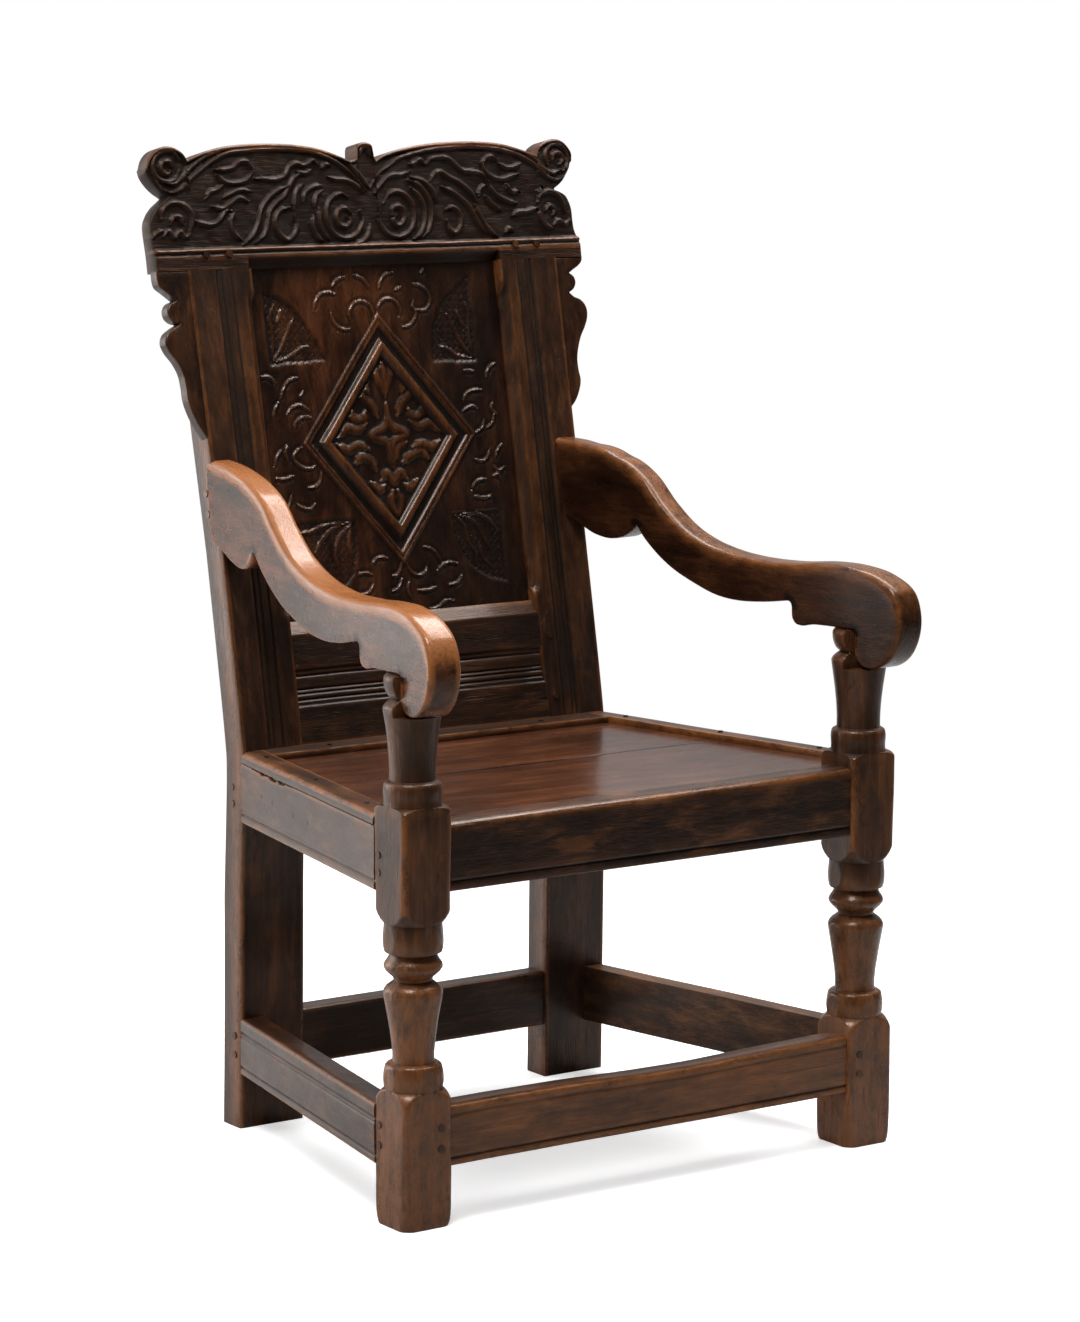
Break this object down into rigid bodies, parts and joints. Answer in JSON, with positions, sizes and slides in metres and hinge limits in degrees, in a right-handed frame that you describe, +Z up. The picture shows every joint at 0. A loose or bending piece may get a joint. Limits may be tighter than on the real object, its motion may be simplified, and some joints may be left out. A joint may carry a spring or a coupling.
{
  "type": "panel-back armchair",
  "caption": "Joined oak armchair with a carved panel back, shaped crest rail, scrolled arms, turned front legs, boarded seat and low stretchers.",
  "frame": {"origin": "on the floor under the middle of the whole chair's bounding box", "axes": "+Z up, -Y the way the chair faces, +X to the right of somebody who looks at its front"},
  "size_m": [0.669, 0.6777, 1.1339],
  "materials": {
    "oak": "dark waxed oak, worn orange-brown along the edges",
    "pegs": "dark waxed oak end grain",
    "nails": "dull rusted wrought iron"
  },
  "bodies": {
    "root": {"front_leg_left": "oak", "front_leg_right": "oak", "rear_stile_left": "oak", "rear_stile_right": "oak", "side_seat_rail_left": "oak", "side_seat_rail_right": "oak", "side_stretcher_left": "oak", "side_stretcher_right": "oak", "seat_edging_left": "oak", "seat_edging_right": "oak", "arm_left": "oak", "arm_right": "oak", "ear_bracket_left": "oak", "ear_bracket_right": "oak", "front_seat_rail": "oak", "front_stretcher": "oak", "back_seat_rail": "oak", "back_stretcher": "oak", "seat_board_front": "oak", "seat_board_rear": "oak", "seat_edging_back": "oak", "lower_back_rail": "oak", "back_panel": "oak", "crest_rail": "oak", "leg_pegs": "pegs", "stile_pegs": "pegs", "arm_pegs": "pegs", "back_frame_pegs": "pegs", "bracket_nails": "nails", "edging_nails": "nails", "seat_nails": "nails"}
  },
  "joints": []
}
